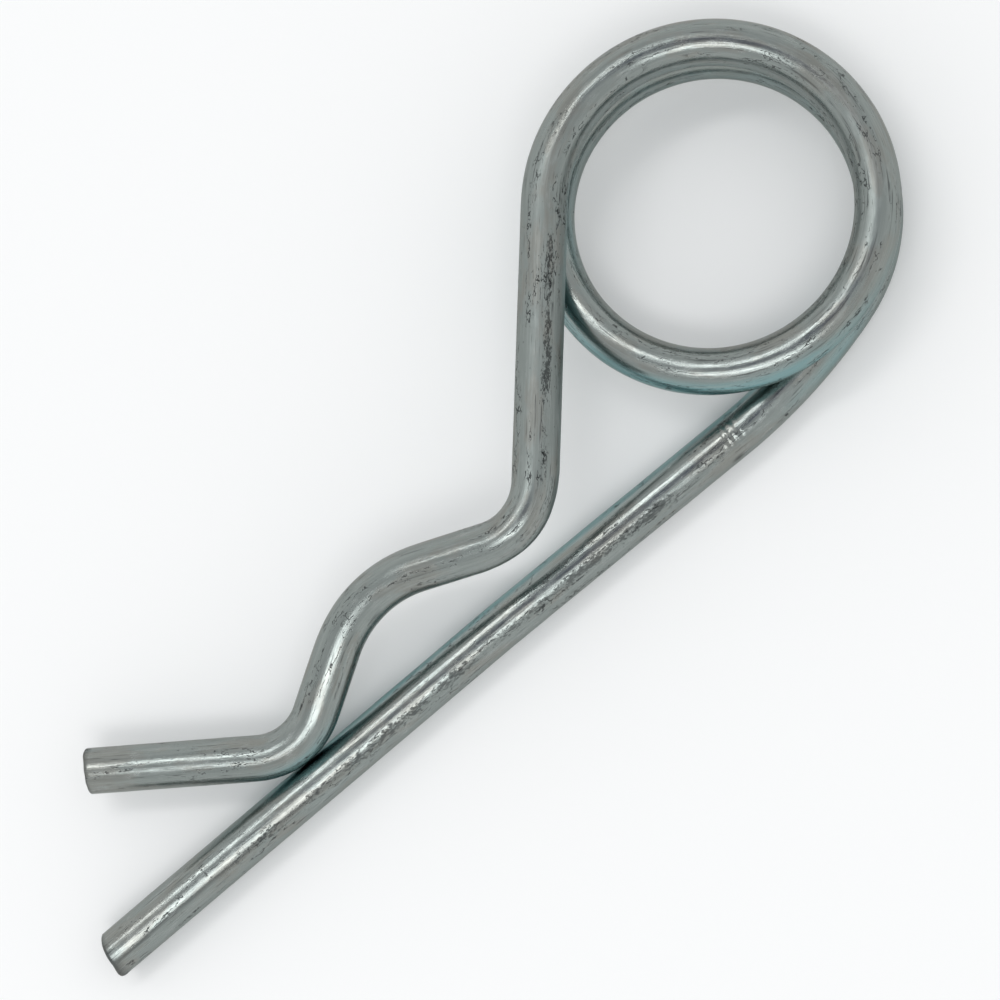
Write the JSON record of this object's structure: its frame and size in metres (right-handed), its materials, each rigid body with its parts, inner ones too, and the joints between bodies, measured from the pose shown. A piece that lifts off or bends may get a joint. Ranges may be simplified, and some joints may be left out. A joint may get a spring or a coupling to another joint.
{
  "type": "hitch r clip pin",
  "caption": "Spring wire R clip with a double-wound finger ring, a straight leg that passes through a cross hole and a waved leg that grips the outside of the shaft.",
  "frame": {"origin": "on the axis of the straight leg, at the middle of the shaft that the clip locks onto, under the top of the hump", "axes": "+X along the straight leg from its tip towards the ring, +Y from the straight leg towards the waved leg, +Z square to the plane of the clip, the side on which the ring winds up"},
  "size_m": [0.121, 0.0418, 0.0151],
  "materials": {
    "zinc_wire": "bright zinc plate over drawn spring steel wire, with drawing lines, dull patches and small scuffs"
  },
  "bodies": {
    "root": {"clip_wire": "zinc_wire"}
  },
  "joints": []
}
